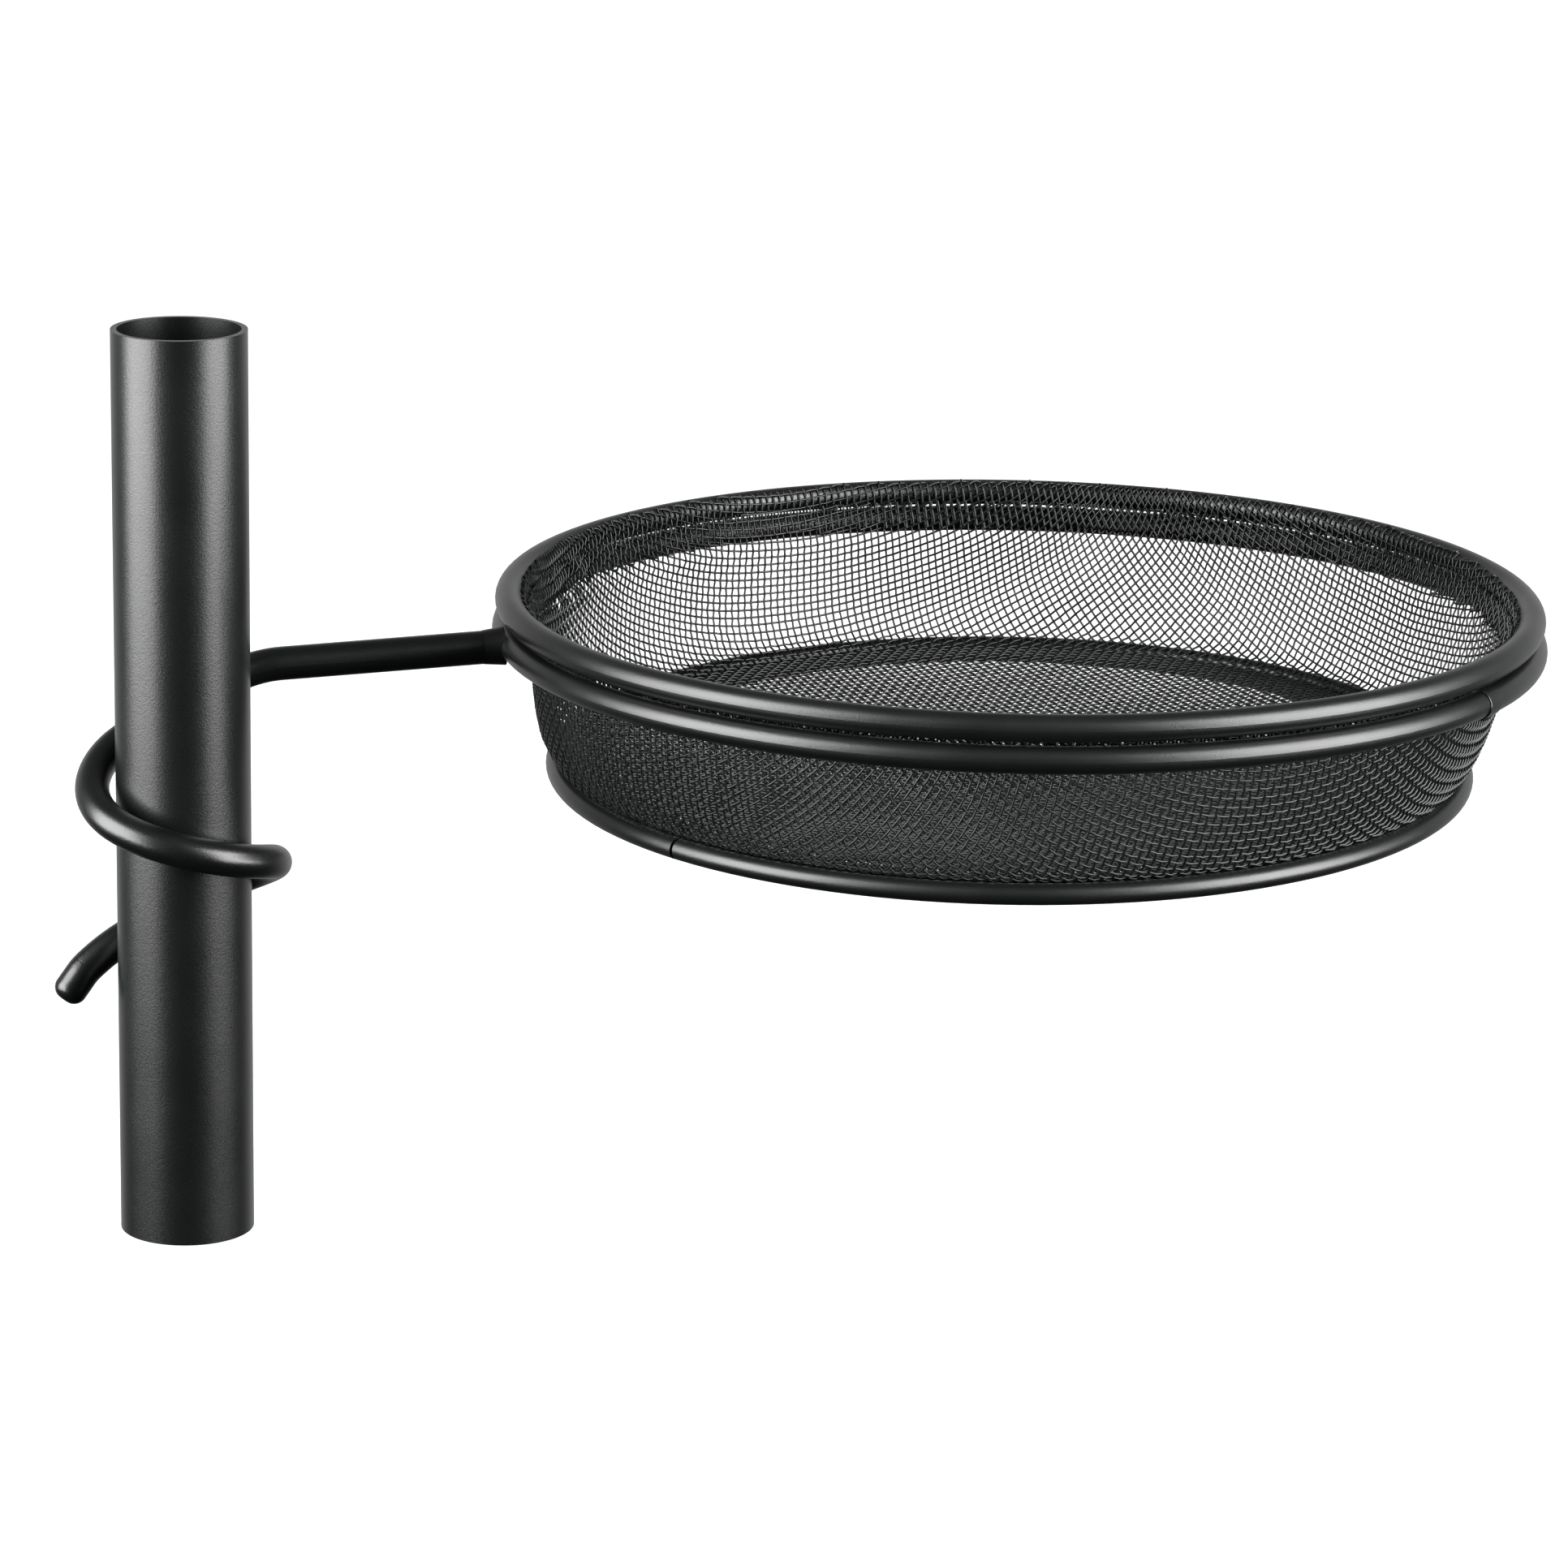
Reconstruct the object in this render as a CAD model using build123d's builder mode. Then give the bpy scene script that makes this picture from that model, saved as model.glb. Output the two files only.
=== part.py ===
from build123d import *
import os
from math import asin, atan2, cos, degrees, hypot, radians, sin, sqrt

# A wire-mesh bird feeder tray on a pole, in millimetres, +Z up.
# The origin is the middle of the pole's lower end. The tray hangs out towards +X.

# ---- driving dimensions ----
# pole: a length of plain steel tube
pole_radius = 11.0
pole_wall = 1.0
pole_length = 151.0

# arm: one steel rod, straight out to the ring and twisted round the pole
arm_rod_radius = 2.8
coil_radius = 14.8
arm_rise_at_ring = 0.0
arm_end_gap = 1.2
arm_drop_at_knee = 1.8
arm_knee_distance = 18.0
tail_edge_radius = 2.2

# support ring: a round-rod ring that carries the tray
support_height = 93.5
tray_centre_x = 137.8
tray_centre_y = 41.0
ring_rod_radius = 2.25
support_ring_radius = 86.7
ring_seam_azimuth = -34.0

# tray: a rim ring, a dish of woven mesh and a base ring under its floor
rim_ring_radius = 86.2
rim_gap = 0.5
mesh_thickness = 0.6
mesh_gap = 0.05
hem_height = 1.6
wall_foot_radius = 79.0
floor_drop = 27.6
shoulder_drop = 8.0
shoulder_radius = 82.3
belly_drop = 15.5
belly_radius = 81.4
corner_radius = 5.0
floor_sag = 5.0
sag_radius = 66.5
sag_steps = 4
base_bead_radius = 1.75
base_ring_radius = 76.9
base_drop = 28.1
base_flange_inner_radius = 67.3
base_flange_thickness = 0.8
base_shift = -1.1
base_tilt = 1.15
base_rise_azimuth = 65.0
base_butt_azimuth = 223.6
base_butt_gap = 0.6

# The coil's bends, from the arm down to the tail:
# azimuth round the pole from +X in degrees, and drop below the support ring.
coil_bends = [
    (100, 9.2),
    (140, 13.6),
    (180, 17.9),
    (220, 21.4),
    (270, 24.8),
    (320, 28.1),
    (360, 30.8),
    (400, 35.0),
    (440, 40.1),
    (480, 45.5),
]
# The tail leaves the coil and bends down to a short straight end: x, y and drop of its centre line.
tail_bends = [(-13.5, 9.3, 48.8), (-17.1, 7.2, 51.7)]
tail_tip = (-20.6, 5.1, 56.4)
tail_slope = (-0.56, -0.31, -0.77)
tail_straight = 2.8

# ---- places worked out from them ----
tray_centre = Vector(tray_centre_x, tray_centre_y, 0)
rim_height = support_height + 2 * ring_rod_radius + rim_gap

# The arm runs on a radius of the ring and grazes the coil's circle on the far side of the pole.
centre_distance = hypot(tray_centre_x, tray_centre_y)
arm_azimuth = atan2(tray_centre_y, tray_centre_x) - asin(coil_radius / centre_distance)
arm_direction = Vector(cos(arm_azimuth), sin(arm_azimuth), 0)
arm_run = sqrt(centre_distance**2 - coil_radius**2)
arm_graze = tray_centre - arm_direction * arm_run


def on_arm(distance, height):
    """A point on the arm's line, so far out from where it grazes the coil's circle."""
    return arm_graze + arm_direction * distance + Vector(0, 0, height)


def on_coil(azimuth, drop):
    """A point on the coil's centre line."""
    angle = radians(azimuth)
    return Vector(coil_radius * cos(angle), coil_radius * sin(angle), support_height - drop)


def ring_plane(centre, azimuth):
    """The upright plane through a ring's axis; its x axis points outwards at the azimuth."""
    angle = radians(azimuth)
    return Plane(origin=centre, x_dir=(cos(angle), sin(angle), 0), z_dir=(sin(angle), -cos(angle), 0))


def tray_plane(drop, share):
    """A plane across the tray below its rim, with a share of the base ring's shift and tilt."""
    tilt = radians(base_tilt * share)
    rise = radians(base_rise_azimuth)
    across = Vector(base_shift * share, 0, -drop)
    axis = Vector(-sin(tilt) * cos(rise), -sin(tilt) * sin(rise), cos(tilt))
    return Plane(origin=rim_centre + across, z_dir=axis)


support_centre = tray_centre + Vector(0, 0, support_height)
rim_centre = tray_centre + Vector(0, 0, rim_height)
arm_end = on_arm(arm_run - support_ring_radius - arm_end_gap, support_height + arm_rise_at_ring)
arm_knee = on_arm(arm_knee_distance, support_height - arm_drop_at_knee)
tail_points = [Vector(x, y, support_height - drop) for x, y, drop in [*tail_bends, tail_tip]]
tail_direction = Vector(*tail_slope).normalized()
tail_start = tail_points[-1] - tail_direction * tail_straight

os.makedirs("parts", exist_ok=True)

# ---- pole ----
with BuildPart() as pole_tube:
    with BuildSketch(Plane.XY):
        Circle(pole_radius)
        Circle(pole_radius - pole_wall, mode=Mode.SUBTRACT)
    extrude(amount=pole_length)
pole_tube.part.label = "pole_tube"
export_step(pole_tube.part, "parts/pole_tube.step")

# ---- support ring ----
with BuildPart() as support_ring:
    with BuildSketch(ring_plane(support_centre, 0)):
        with Locations((support_ring_radius, 0)):
            Circle(ring_rod_radius)
    revolve(axis=Axis(support_centre, (0, 0, 1)))
support_ring.part.label = "support_ring"
export_step(support_ring.part, "parts/support_ring.step")

# The weld that closes the ring: a low collar of weld metal round the rod.
seam_weld_arc = 2.6
seam_weld_height = 0.22
seam_weld_edge = 0.2
with BuildPart() as ring_seam_weld:
    with BuildSketch(ring_plane(support_centre, ring_seam_azimuth)):
        with Locations((support_ring_radius, 0)):
            Circle(ring_rod_radius + seam_weld_height)
    revolve(axis=Axis(support_centre, (0, 0, 1)), revolution_arc=seam_weld_arc)
    seam_ends = ring_seam_weld.edges().filter_by(GeomType.CIRCLE)
    fillet([edge for edge in seam_ends if edge.radius < 2 * ring_rod_radius], seam_weld_edge)
    add(support_ring.part, mode=Mode.SUBTRACT)
ring_seam_weld.part.label = "ring_seam_weld"
export_step(ring_seam_weld.part, "parts/ring_seam_weld.step")

# ---- arm ----
coil_points = [on_coil(azimuth, drop) for azimuth, drop in coil_bends]
arm_slope = (arm_end - arm_knee).normalized()
weld_plane = Plane(origin=arm_end, z_dir=arm_slope * -1)
bend_points = [*coil_points, *tail_points[:-1], tail_start]
with BuildPart() as twist_arm:
    with BuildLine() as arm_path:
        Line(arm_end, arm_knee)
        Spline(arm_knee, *bend_points, tangents=(arm_slope * -1, tail_direction))
        Line(tail_start, tail_points[-1])
    with BuildSketch(weld_plane):
        Circle(arm_rod_radius)
    sweep(path=arm_path.wires()[0])
    tail_end = twist_arm.faces().filter_by(GeomType.PLANE).sort_by(Axis.Z)[0]
    fillet(tail_end.edges(), tail_edge_radius)
    add(support_ring.part, mode=Mode.SUBTRACT)
twist_arm.part.label = "twist_arm"
export_step(twist_arm.part, "parts/twist_arm.step")

# The weld between the arm and the ring: a cone of weld metal round the arm's end.
arm_weld_length = 3.6
arm_weld_foot = 3.25
arm_weld_lip = 0.05
with BuildPart() as arm_weld:
    with BuildSketch(weld_plane):
        Circle(arm_weld_foot)
    with BuildSketch(weld_plane.offset(arm_weld_length)):
        Circle(arm_rod_radius + arm_weld_lip)
    loft()
    add(support_ring.part, mode=Mode.SUBTRACT)
    add(twist_arm.part, mode=Mode.SUBTRACT)
arm_weld.part.label = "arm_weld"
export_step(arm_weld.part, "parts/arm_weld.step")

# ---- tray ----
with BuildPart() as tray_rim_ring:
    with BuildSketch(ring_plane(rim_centre, 0)):
        with Locations((rim_ring_radius, 0)):
            Circle(ring_rod_radius)
    revolve(axis=Axis(rim_centre, (0, 0, 1)))
tray_rim_ring.part.label = "tray_rim_ring"
export_step(tray_rim_ring.part, "parts/tray_rim_ring.step")

# The dish is one sheet of mesh: a hem inside the rim, a wall that bellies in, and a sagging floor.
# Its lower end follows the base ring, so each section has its share of the ring's shift and tilt.
hem_radius = rim_ring_radius - ring_rod_radius - mesh_gap
wall_outline = [
    (hem_radius, -hem_height, 0),
    (hem_radius, ring_rod_radius, 0),
    (shoulder_radius, shoulder_drop, 0),
    (belly_radius, belly_drop, 0.5),
    (wall_foot_radius, floor_drop - corner_radius, 1),
]
floor_shares = [1 - step / sag_steps for step in range(sag_steps)]
floor_outline = [(wall_foot_radius - corner_radius, floor_drop)]
floor_outline += [(sag_radius * share, floor_drop + floor_sag * (1 - share**2)) for share in floor_shares]
with BuildPart() as tray_mesh:
    for radius, drop, share in wall_outline:
        with BuildSketch(tray_plane(drop, share)):
            Circle(radius)
    for radius, drop in floor_outline:
        with BuildSketch(tray_plane(drop, 1)):
            Circle(radius)
    loft(ruled=True)
    for radius, drop, share in wall_outline:
        with BuildSketch(tray_plane(drop, share)):
            Circle(radius - mesh_thickness)
    for radius, drop in floor_outline:
        with BuildSketch(tray_plane(drop - mesh_thickness, 1)):
            Circle(radius - mesh_thickness)
    loft(ruled=True, mode=Mode.SUBTRACT)
tray_mesh.part.label = "tray_mesh"
export_step(tray_mesh.part, "parts/tray_mesh.step")

# The base ring is rolled from strip: a bead round the outside and a flat flange under the floor.
# It stands a little off the rim's centre and a little out of level, and its ends meet at a butt.
base_plane = tray_plane(base_drop, 1)
butt = radians(base_butt_azimuth)
butt_across = Vector(cos(butt), sin(butt), 0).cross(base_plane.z_dir).normalized()
butt_outwards = base_plane.z_dir.cross(butt_across)
base_arc = 360 - degrees(base_butt_gap / base_ring_radius)
with BuildPart() as tray_base_ring:
    with BuildSketch(Plane(origin=base_plane.origin, x_dir=butt_outwards, z_dir=butt_across)):
        with Locations((base_ring_radius, 0)):
            Circle(base_bead_radius)
        with Locations(((base_flange_inner_radius + base_ring_radius) / 2, 0)):
            Rectangle(base_ring_radius - base_flange_inner_radius, base_flange_thickness)
    revolve(axis=Axis(base_plane.origin, base_plane.z_dir), revolution_arc=base_arc)
tray_base_ring.part.label = "tray_base_ring"
export_step(tray_base_ring.part, "parts/tray_base_ring.step")
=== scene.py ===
from math import acos, asin, atan2, ceil, cos, hypot, pi, radians, sin, tan

import bmesh
import bpy
from mathutils import Matrix, Vector, noise


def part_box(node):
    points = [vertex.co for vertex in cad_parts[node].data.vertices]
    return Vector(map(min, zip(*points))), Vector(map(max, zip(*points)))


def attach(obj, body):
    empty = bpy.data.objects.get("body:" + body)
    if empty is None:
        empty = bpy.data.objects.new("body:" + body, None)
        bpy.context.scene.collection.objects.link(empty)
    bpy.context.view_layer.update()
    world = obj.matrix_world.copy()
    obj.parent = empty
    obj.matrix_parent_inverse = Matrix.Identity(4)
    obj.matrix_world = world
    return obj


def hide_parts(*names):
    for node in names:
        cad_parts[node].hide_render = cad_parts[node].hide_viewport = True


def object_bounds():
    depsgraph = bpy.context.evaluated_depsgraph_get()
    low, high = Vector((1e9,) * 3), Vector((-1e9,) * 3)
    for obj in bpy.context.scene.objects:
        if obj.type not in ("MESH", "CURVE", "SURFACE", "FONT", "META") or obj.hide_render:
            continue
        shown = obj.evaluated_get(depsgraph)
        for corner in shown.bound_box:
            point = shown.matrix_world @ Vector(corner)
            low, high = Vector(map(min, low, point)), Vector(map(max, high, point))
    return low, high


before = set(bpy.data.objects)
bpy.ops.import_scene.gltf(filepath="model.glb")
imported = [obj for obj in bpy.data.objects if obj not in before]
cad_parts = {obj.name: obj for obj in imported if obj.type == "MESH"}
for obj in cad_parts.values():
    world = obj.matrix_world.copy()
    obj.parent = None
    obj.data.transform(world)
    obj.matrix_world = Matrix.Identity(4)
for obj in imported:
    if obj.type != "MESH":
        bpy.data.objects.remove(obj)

MM = 0.001

# The wires' sway is drawn from noise, which starts from the clock unless it is given a seed.
noise.seed_set(7)

# A wire-mesh bird feeder tray on a pole. All lengths are in metres, +Z up.
# The tubes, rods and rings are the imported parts, given a powder-coat finish.
# The dish's woven mesh is made here, wire by wire.


def box_numbers(box):
    """A box's two corners as plain lists of numbers."""
    return [[float(value) for value in corner] for corner in box]


packed_box = box_numbers(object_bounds())

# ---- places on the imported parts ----
rim_low, rim_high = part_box("tray_rim_ring")
rim_centre = (rim_low + rim_high) / 2
rod_radius = (rim_high.z - rim_low.z) / 2
rim_radius = (rim_high.x - rim_low.x) / 2 - rod_radius

# ---- the woven mesh ----
weave_pitch = 1.36 * MM
wire_radius = 0.19 * MM
weave_lift = 0.15 * MM
weave_turn = radians(28)
cloth_half = wire_radius + weave_lift - 0.02 * MM

# The dish's outline, from the middle of the floor out to the hem over the rim's rod.
floor_radius = 73.0 * MM
floor_drop = 27.3 * MM
floor_sag = 5.0 * MM
sag_radius = 66.5 * MM
# Over the base ring's bead and up the wall: radius and drop in millimetres.
corner_bends = [(74.3, 26.95), (75.8, 26.25), (77.2, 25.5), (78.1, 24.3)]
wall_bends = [(79.5, 21.5), (80.5, 18.3), (81.2, 15.0), (81.8, 11.5), (82.1, 8.0)]
wall_foot_drop = 21.5 * MM
wall_top_drop = 8.0 * MM
hem_radius = rim_radius - rod_radius - cloth_half - 0.05 * MM
# The hem laps further over the rim's rod at the back than at the front, and its end tucks in.
hem_wrap_front, hem_wrap_back = radians(26), radians(66)
hem_tuck = 0.5 * MM
# Inside the rim the sheet's edge is folded down again as a second layer.
fold_start, fold_end = 1.0 * MM, 6.2 * MM
fold_offset = 0.8 * MM
fold_turn = radians(2.5)

# The base ring sits a little off the rim's centre and a little out of level.
base_shift = -1.1 * MM
base_tilt = radians(1.15)
base_rise_azimuth = radians(65)

# How far the weave shears as the flat sheet is pressed into a dish: none at 0, all of it at 1.
weave_shear = 0.5
# How much the sheet stretches up the wall.
wall_stretch = 1.05

# Each wire strays from its true line in slow sways and small jitters.
sway_scale, sway_reach = 60, 0.35 * MM
jitter_scale, jitter_reach = 900, 0.035 * MM

# Puckers in the top of the wall: deep folds at the back left and a shallow ripple all round.
pucker_azimuth = radians(148)
pucker_depth, ripple_depth = 1.6 * MM, 0.35 * MM


def outline_points():
    """The outline as (radius, drop) pairs, close together."""
    sag_steps, wrap_steps = 12, 6
    points = []
    for step in range(sag_steps + 1):
        share = step / sag_steps
        points.append((sag_radius * share, floor_drop + floor_sag * (1 - share**2)))
    points.append((floor_radius, floor_drop))
    points += [(radius * MM, drop * MM) for radius, drop in corner_bends + wall_bends]
    points += [(hem_radius, rod_radius), (hem_radius, 0.0)]
    for step in range(1, wrap_steps + 1):
        turn = hem_wrap_back * step / wrap_steps
        points.append((rim_radius - wrap_radius * cos(turn), -wrap_radius * sin(turn)))
    return points


wrap_radius = rim_radius - hem_radius
outline = outline_points()
outline_lengths = [0.0]
for (r0, d0), (r1, d1) in zip(outline, outline[1:]):
    outline_lengths.append(outline_lengths[-1] + hypot(r1 - r0, d1 - d0))
sheet_reach = outline_lengths[-1]
hem_length = sheet_reach - wrap_radius * hem_wrap_back
fold_radius = floor_radius + 2.0 * MM


def on_outline(length):
    """Radius, drop, and the inward normal at a length along the outline."""
    index = 0
    while index < len(outline) - 2 and outline_lengths[index + 1] < length:
        index += 1
    (r0, d0), (r1, d1) = outline[index], outline[index + 1]
    span = outline_lengths[index + 1] - outline_lengths[index]
    share = (length - outline_lengths[index]) / span
    radius, drop = r0 + (r1 - r0) * share, d0 + (d1 - d0) * share
    return radius, drop, (-(d0 - d1) / span, (r1 - r0) / span)


def pressed(u, v):
    """Where a point of the flat sheet goes on the dish: azimuth and length along the outline."""
    flat_radius, flat_azimuth = hypot(u, v), atan2(v, u)
    if flat_radius <= fold_radius:
        return flat_azimuth, flat_radius
    a, b = abs(u), abs(v)
    turn_u = acos(min(1.0, a / fold_radius))
    turn_v = asin(min(1.0, b / fold_radius))
    azimuth = (turn_u + turn_v) / 2 - (sin(2 * turn_u) - sin(2 * turn_v)) / 4
    over_u, over_v = max(0.0, a - fold_radius), max(0.0, b - fold_radius)
    climb = (min(a, fold_radius) ** 2 + min(b, fold_radius) ** 2) / (2 * fold_radius)
    sheared_length = climb + fold_radius / 2 + over_u + over_v
    if u < 0:
        azimuth = pi - azimuth
    if v < 0:
        azimuth = -azimuth
    length = flat_radius + (sheared_length - flat_radius) * weave_shear
    length = fold_radius + (length - fold_radius) * wall_stretch
    return flat_azimuth + (azimuth - flat_azimuth) * weave_shear, length


def eased(value, start, end):
    """How far a value has come from start to end, eased in and out, between 0 and 1."""
    share = min(1.0, max(0.0, (value - start) / (end - start)))
    return share * share * (3 - 2 * share)


def hem_reach(azimuth):
    """The length along the outline where the sheet ends."""
    short_by = (hem_wrap_back - hem_wrap_front) * (1 - eased(sin(azimuth), -0.1, 0.7))
    return sheet_reach - wrap_radius * short_by


def wrinkle(azimuth, drop):
    """How far the wall's top is puckered inwards; most at the back left."""
    top = eased(drop, 0.2 * MM, 2.5 * MM) * (1 - eased(drop, 6.0 * MM, 10.0 * MM))
    back_left = eased(cos(azimuth - pucker_azimuth), 0.88, 0.97)
    folds = noise.noise(Vector((azimuth * 15 + drop * 180, drop * 120, 0)))
    ripple = noise.noise(Vector((azimuth * 32, drop * 250, 7)))
    folds_in = back_left * max(0.0, folds + 0.15) * pucker_depth
    return top * (folds_in + max(0.0, ripple) * ripple_depth)


def dish_point(u, v, lift, folded):
    """The place on the dish for a point of the flat sheet, lifted off it along its normal."""
    azimuth, length = pressed(u, v)
    if folded:
        azimuth += weave_turn + fold_turn
        bottom, top = hem_length - fold_end, hem_length - fold_start
        inside = bottom <= length <= top
        length, lift = min(top, max(bottom, length)), lift + fold_offset
    else:
        azimuth += weave_turn
        reach = hem_reach(azimuth)
        inside = length <= reach
        if not inside:
            length, lift = reach, -hem_tuck
    radius, drop, (normal_out, normal_up) = on_outline(length)
    radius += lift * normal_out - wrinkle(azimuth, drop)
    drop -= lift * normal_up
    share = min(1.0, max(0.0, (drop - wall_top_drop) / (wall_foot_drop - wall_top_drop)))
    rise = tan(base_tilt * share) * radius * cos(azimuth - base_rise_azimuth)
    place = rim_centre + Vector((
        radius * cos(azimuth) + base_shift * share,
        radius * sin(azimuth),
        rise - drop,
    ))
    return place, inside


def wire_points(line, along_u, folded):
    """One wire's crossings, over and under, as runs of points on the dish."""
    reach = int(sheet_reach / weave_pitch) + 1
    runs, run = [], []
    for cross in range(-reach, reach + 1):
        over = 1 if (line + cross) % 2 == 0 else -1
        lift = weave_lift * over * (1 if along_u else -1)
        u, v = cross * weave_pitch, line * weave_pitch
        if not along_u:
            u, v = v, u
        sway = noise.noise_vector(Vector((u, v, 0)) * sway_scale) * sway_reach
        jitter = noise.noise_vector(Vector((u, v, 0.01)) * jitter_scale) * jitter_reach
        stray = sway + jitter
        place, inside = dish_point(u + stray.x, v + stray.y, lift, folded)
        if inside:
            run.append(place)
        elif run:
            run.append(place)
            runs.append(run)
            run = []
    if run:
        runs.append(run)
    return [run for run in runs if len(run) > 2]


def weave_piece(name, lines, along_u, material, folded=False):
    """A share of the mesh's wires as one piece."""
    curve = bpy.data.curves.new(name, "CURVE")
    curve.dimensions = "3D"
    curve.bevel_depth = wire_radius
    curve.bevel_resolution = 1
    curve.use_fill_caps = True
    for line in lines:
        for run in wire_points(line, along_u, folded):
            spline = curve.splines.new("POLY")
            spline.points.add(len(run) - 1)
            for point, place in zip(spline.points, run):
                point.co = (*place, 1)
    wires = bpy.data.objects.new(name + "_line", curve)
    mesh = bpy.data.meshes.new_from_object(wires)
    bpy.data.objects.remove(wires)
    mesh.name = name
    mesh.materials.clear()
    mesh.materials.append(material)
    mesh.shade_smooth()
    piece = bpy.data.objects.new(name, mesh)
    bpy.context.scene.collection.objects.link(piece)
    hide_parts("tray_mesh")
    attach(piece, "tray")
    return piece


# ---- finishes ----
coat_grain, weld_grain, wire_grain = 0.024 * MM, 0.03 * MM, 0.008 * MM
peel_depth = 0.007 * MM
coat_dark, coat_light = (0.0008, 0.0011, 0.0012), (0.0020, 0.0025, 0.0026)
wire_dark, wire_light = (0.002, 0.0026, 0.0028), (0.005, 0.006, 0.006)
wire_gloss = 0.35


def new_finish(name):
    """An empty node material, with its nodes, its links and its shader."""
    material = bpy.data.materials.new(name)
    material.use_nodes = True
    nodes, links = material.node_tree.nodes, material.node_tree.links
    shader = nodes["Principled BSDF"]
    return material, nodes, links, shader


def grain(nodes, links, coordinates, scale, detail=2.0, roughness=0.5):
    """A noise pattern's value over the piece."""
    node = nodes.new("ShaderNodeTexNoise")
    node.inputs["Scale"].default_value = scale
    node.inputs["Detail"].default_value = detail
    node.inputs["Roughness"].default_value = roughness
    links.new(coordinates, node.inputs["Vector"])
    return node.outputs["Fac"]


def ramp(nodes, links, value, stops):
    """A colour ramp over a value: stops are (place, colour)."""
    node = nodes.new("ShaderNodeValToRGB")
    elements = node.color_ramp.elements
    while len(elements) < len(stops):
        elements.new(0.5)
    for element, (place, colour) in zip(elements, stops):
        element.position = place
        element.color = (*colour, 1)
    links.new(value, node.inputs["Fac"])
    return node.outputs["Color"]


def span(nodes, links, value, low, high, start=0.3, end=0.7):
    """A pattern's value, from its usual spread onto low to high."""
    node = nodes.new("ShaderNodeMapRange")
    node.inputs["From Min"].default_value = start
    node.inputs["From Max"].default_value = end
    node.inputs["To Min"].default_value = low
    node.inputs["To Max"].default_value = high
    links.new(value, node.inputs["Value"])
    return node.outputs["Result"]


def bump(nodes, links, height, depth, under=None):
    """A bump of that depth in metres, over another one where given."""
    node = nodes.new("ShaderNodeBump")
    node.inputs["Distance"].default_value = depth
    links.new(height, node.inputs["Height"])
    if under is not None:
        links.new(under, node.inputs["Normal"])
    return node.outputs["Normal"]


def powder_coat(name, dark, light, rough_low, rough_high, grain_depth=coat_grain, gloss=0.5):
    """Satin black powder coat: fine grain, faint orange peel and a slight cloud in its gloss."""
    material, nodes, links, shader = new_finish(name)
    coordinates = nodes.new("ShaderNodeTexCoord").outputs["Object"]
    speckle = grain(nodes, links, coordinates, 2900, 3.0, 0.6)
    cloud = grain(nodes, links, coordinates, 90, 3.0)
    peel = grain(nodes, links, coordinates, 900, 2.0)
    links.new(ramp(nodes, links, speckle, [(0.3, dark), (0.7, light)]), shader.inputs["Base Color"])
    links.new(span(nodes, links, cloud, rough_low, rough_high), shader.inputs["Roughness"])
    fine = bump(nodes, links, speckle, grain_depth)
    links.new(bump(nodes, links, peel, peel_depth, fine), shader.inputs["Normal"])
    shader.inputs["Specular IOR Level"].default_value = gloss
    return material


pole_finish = powder_coat("pole_powder_coat", coat_dark, coat_light, 0.33, 0.37)
arm_finish = powder_coat("arm_powder_coat", coat_dark, coat_light, 0.29, 0.34)
ring_finish = powder_coat("ring_powder_coat", coat_dark, coat_light, 0.33, 0.38)
tray_finish = powder_coat("tray_powder_coat", coat_dark, coat_light, 0.34, 0.39)
weld_finish = powder_coat("weld_powder_coat", coat_dark, coat_light, 0.32, 0.42, weld_grain)
wire_finish = powder_coat(
    "mesh_wire_coat", wire_dark, wire_light, 0.30, 0.38, wire_grain, wire_gloss)

node_finishes = {
    "pole_tube": pole_finish,
    "twist_arm": arm_finish,
    "support_ring": ring_finish,
    "arm_weld": weld_finish,
    "ring_seam_weld": weld_finish,
    "tray_rim_ring": tray_finish,
    "tray_base_ring": tray_finish,
}
for node_name, finish in node_finishes.items():
    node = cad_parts[node_name]
    if not node.material_slots:
        node.data.materials.append(finish)
    for material_slot in node.material_slots:
        material_slot.material = finish

# The mesh's two sets of wires, each in three pieces, and each set's folded-down edge.
line_count = int(sheet_reach / weave_pitch)
all_lines = list(range(-line_count, line_count + 1))
family_pieces = 3
share_size = ceil(len(all_lines) / family_pieces)
for family, along_u in (("warp", True), ("weft", False)):
    for share in range(family_pieces):
        lines = all_lines[share * share_size:(share + 1) * share_size]
        weave_piece(f"tray_mesh_{family}_{share + 1}", lines, along_u, wire_finish)
    weave_piece(f"tray_mesh_fold_{family}", all_lines, along_u, wire_finish, folded=True)

# ---- stage ----
floor_half = 8.0
floor_gap = 0.5 * MM
floor_mesh = bpy.data.meshes.new("floor")
floor_form = bmesh.new()
bmesh.ops.create_grid(floor_form, x_segments=1, y_segments=1, size=floor_half)
bmesh.ops.translate(
    floor_form, verts=floor_form.verts, vec=(0, 0, packed_box[0][2] - floor_gap))
floor_form.to_mesh(floor_mesh)
floor_form.free()
floor = bpy.data.objects.new("floor", floor_mesh)
bpy.context.scene.collection.objects.link(floor)
floor_finish, _, _, floor_shader = new_finish("pale_floor")
floor_shader.inputs["Base Color"].default_value = (0.25, 0.25, 0.25, 1)
floor_shader.inputs["Roughness"].default_value = 1.0
floor_shader.inputs["Specular IOR Level"].default_value = 0.0
floor_shader.inputs["Emission Color"].default_value = (1, 1, 1, 1)
floor_shader.inputs["Emission Strength"].default_value = 0.95
floor_mesh.materials.append(floor_finish)
floor.visible_glossy = False
floor.visible_diffuse = False
floor.visible_transmission = False

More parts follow.
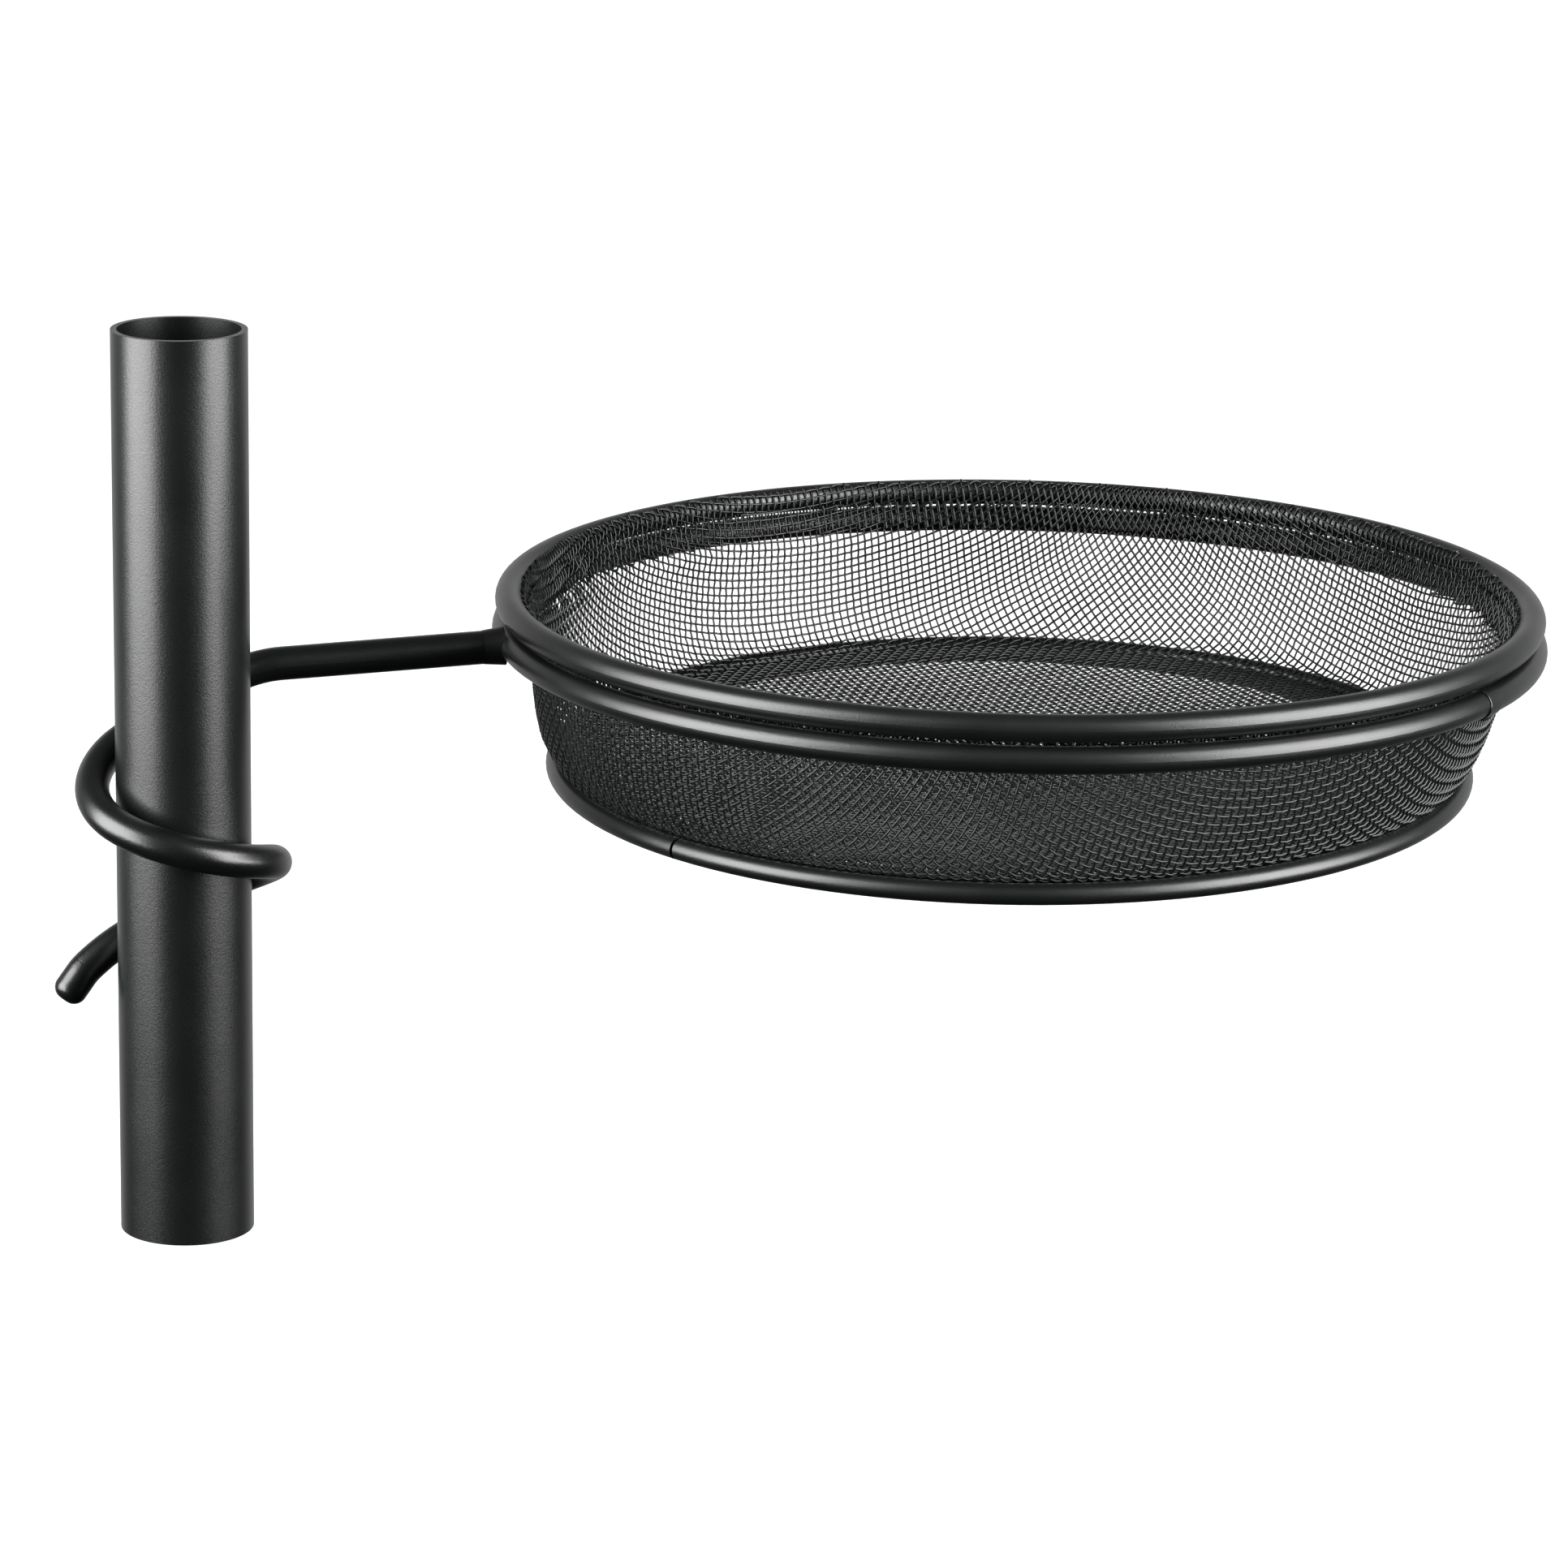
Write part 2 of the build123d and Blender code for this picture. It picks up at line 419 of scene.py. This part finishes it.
# A dim studio with a pale wall behind the object, and a little light from above.
world = bpy.data.worlds.new("studio")
bpy.context.scene.world = world
world.use_nodes = True
studio_nodes, studio_links = world.node_tree.nodes, world.node_tree.links
looked_in = studio_nodes.new("ShaderNodeTexCoord").outputs["Generated"]
direction = studio_nodes.new("ShaderNodeSeparateXYZ")
studio_links.new(looked_in, direction.inputs["Vector"])


def studio_band(axis, start, end, low, high):
    """A smooth change in the studio's brightness along one axis of the direction looked in."""
    node = studio_nodes.new("ShaderNodeMapRange")
    node.interpolation_type = "SMOOTHSTEP"
    node.inputs["From Min"].default_value = start
    node.inputs["From Max"].default_value = end
    node.inputs["To Min"].default_value = low
    node.inputs["To Max"].default_value = high
    studio_links.new(direction.outputs[axis], node.inputs["Value"])
    return node.outputs["Result"]


def studio_sum(operation, first, second):
    """Two brightnesses put together."""
    node = studio_nodes.new("ShaderNodeMath")
    node.operation = operation
    studio_links.new(first, node.inputs[0])
    studio_links.new(second, node.inputs[1])
    return node.outputs["Value"]


behind = studio_band("Y", 0.30, 0.90, 0.0, 0.75)
above_floor = studio_band("Z", -0.85, -0.25, 0.0, 1.0)
below_top = studio_band("Z", 0.20, 0.65, 1.0, 0.12)
back_wall = studio_sum("MULTIPLY", studio_sum("MULTIPLY", behind, above_floor), below_top)
overhead = studio_band("Z", 0.1, 0.9, 0.02, 0.13)
background = studio_nodes["Background"]
background.inputs["Color"].default_value = (1, 1, 1, 1)
studio_links.new(studio_sum("ADD", back_wall, overhead), background.inputs["Strength"])

object_middle = (Vector(packed_box[0]) + Vector(packed_box[1])) / 2


def softbox(name, azimuth, low, high, distance, width, power):
    """A tall soft light that stands upright and faces the object."""
    light = bpy.data.lights.new(name, "AREA")
    light.shape = "RECTANGLE"
    light.size, light.size_y = width, high - low
    light.energy = power
    lamp = bpy.data.objects.new(name, light)
    bpy.context.scene.collection.objects.link(lamp)
    outwards = Vector((cos(radians(azimuth)), sin(radians(azimuth)), 0))
    foot = Vector((object_middle.x, object_middle.y, (low + high) / 2))
    lamp.location = foot + outwards * distance
    lamp.rotation_euler = outwards.to_track_quat("Z", "Y").to_euler()
    lamp.visible_camera = False
    return lamp


for side, azimuth in (("left", 204), ("right", 333)):
    softbox(side + "_softbox", azimuth, low=-0.05, high=0.8, distance=0.75, width=0.65, power=28)

# ---- camera ----
camera_data = bpy.data.cameras.new("camera")
camera_data.sensor_width = 36.0
camera_data.lens = 138.95
camera_data.clip_end = 50
camera = bpy.data.objects.new("camera", camera_data)
bpy.context.scene.collection.objects.link(camera)
camera_place = Vector((0.0810, -0.9537, 0.3330))
camera_yaw, camera_pitch, camera_roll = 0.01769, 0.2623, 0.01683  # radians
camera.matrix_world = (
    Matrix.Translation(camera_place)
    @ Matrix.Rotation(-camera_yaw, 4, "Z")
    @ Matrix.Rotation(pi / 2 - camera_pitch, 4, "X")
    @ Matrix.Rotation(camera_roll, 4, "Z")
)
bpy.context.scene.camera = camera
bpy.context.scene.view_settings.view_transform = "Standard"
